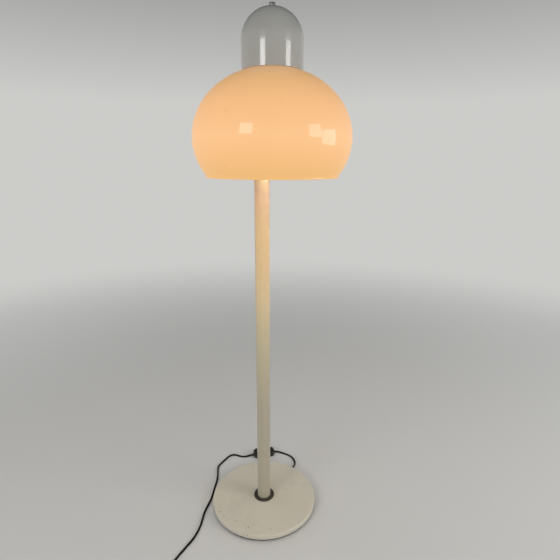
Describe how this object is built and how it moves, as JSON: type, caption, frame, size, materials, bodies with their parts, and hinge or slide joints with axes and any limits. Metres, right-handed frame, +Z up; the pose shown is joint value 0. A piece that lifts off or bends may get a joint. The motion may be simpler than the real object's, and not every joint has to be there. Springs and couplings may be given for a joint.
{
  "type": "mushroom floor lamp",
  "caption": "Floor lamp: disc base, tube pole and an opal bowl shade under a bullet-shaped metal cap, with the bulb hung base-up on the head's own axis, and a foot switch on the cord.",
  "frame": {"origin": "on the floor, under the pole's axis, at the middle of the round base's underside", "axes": "+Z up along the pole, -Y towards the viewer of the picture, +X to the viewer's right"},
  "size_m": [0.4303, 0.5388, 1.2135],
  "materials": {
    "cream_lacquer": "smooth gloss lacquer, warm grey-cream",
    "dark_lacquer": "satin dark bronze lacquer",
    "black_plinth": "matte black moulding",
    "felt": "black felt",
    "iron": "raw sand casting",
    "zinc_steel": "zinc-plated steel",
    "chrome": "polished chrome",
    "opal": "opal acrylic, glossy outside",
    "gasket": "soft black rubber",
    "cord_skin": "matte black PVC",
    "black_plastic": "satin black moulding",
    "phenolic": "black thermoset moulding",
    "ceramic": "white glazed porcelain",
    "brass": "bright turned brass",
    "frosted_glass": "frosted white glass"
  },
  "bodies": {
    "lamp": {"base_cover": "cream_lacquer", "base_weight": "iron", "base_plinth": "black_plinth", "plinth_screws": "zinc_steel", "base_felt": "felt", "base_washer": "zinc_steel", "base_nut": "zinc_steel", "foot_ring": "dark_lacquer", "pole": "cream_lacquer", "foot_plug": "zinc_steel", "cord_bush": "cord_skin", "cord_clamp": "zinc_steel", "clamp_screws": "zinc_steel", "inner_lead": "cord_skin", "top_plug": "zinc_steel", "head_carrier": "zinc_steel", "carrier_screws": "zinc_steel", "shade_gasket": "gasket", "shade": "opal", "cap": "cream_lacquer", "cap_washer": "chrome", "cap_rod": "zinc_steel", "rod_nuts": "zinc_steel", "bridge_strap": "zinc_steel", "bridge_screws": "zinc_steel", "holder_nipple": "zinc_steel", "nipple_nuts": "zinc_steel", "lampholder": "phenolic", "socket_insert": "ceramic", "socket_shell": "brass", "socket_contact": "brass", "cord_to_switch": "cord_skin", "switch_base": "black_plastic", "switch_housing": "black_plastic", "switch_screws": "zinc_steel", "switch_block": "phenolic", "switch_spring": "zinc_steel", "cord_to_coil": "cord_skin", "cord_coil": "cord_skin", "coil_tie": "black_plastic", "cord_to_plug": "cord_skin", "plug_body": "black_plastic", "plug_pins": "brass"},
    "button": {"switch_button": "black_plastic"},
    "finial": {"finial_nut": "chrome"},
    "bulb": {"bulb_cap": "brass", "bulb_glass": "frosted_glass"}
  },
  "joints": [
    {"name": "button_press", "type": "slide", "parent": "lamp", "child": "button", "axis": [0, 0, -1], "range_m": [0, 0.0035], "stiffness_N_per_m": 800, "springref_m": -0.003, "deforming": ["switch_spring"]},
    {"name": "finial_turn", "type": "hinge", "parent": "lamp", "child": "finial", "pos_m": [0.023, -0.0455, 1.207], "axis": [0, 0, 1], "range_deg": [0, 1440]},
    {"name": "bulb_turn", "type": "hinge", "parent": "lamp", "child": "bulb", "pos_m": [0.023, -0.0455, 1.03], "axis": [0, 0, 1], "range_deg": [-1080, 0]}
  ]
}
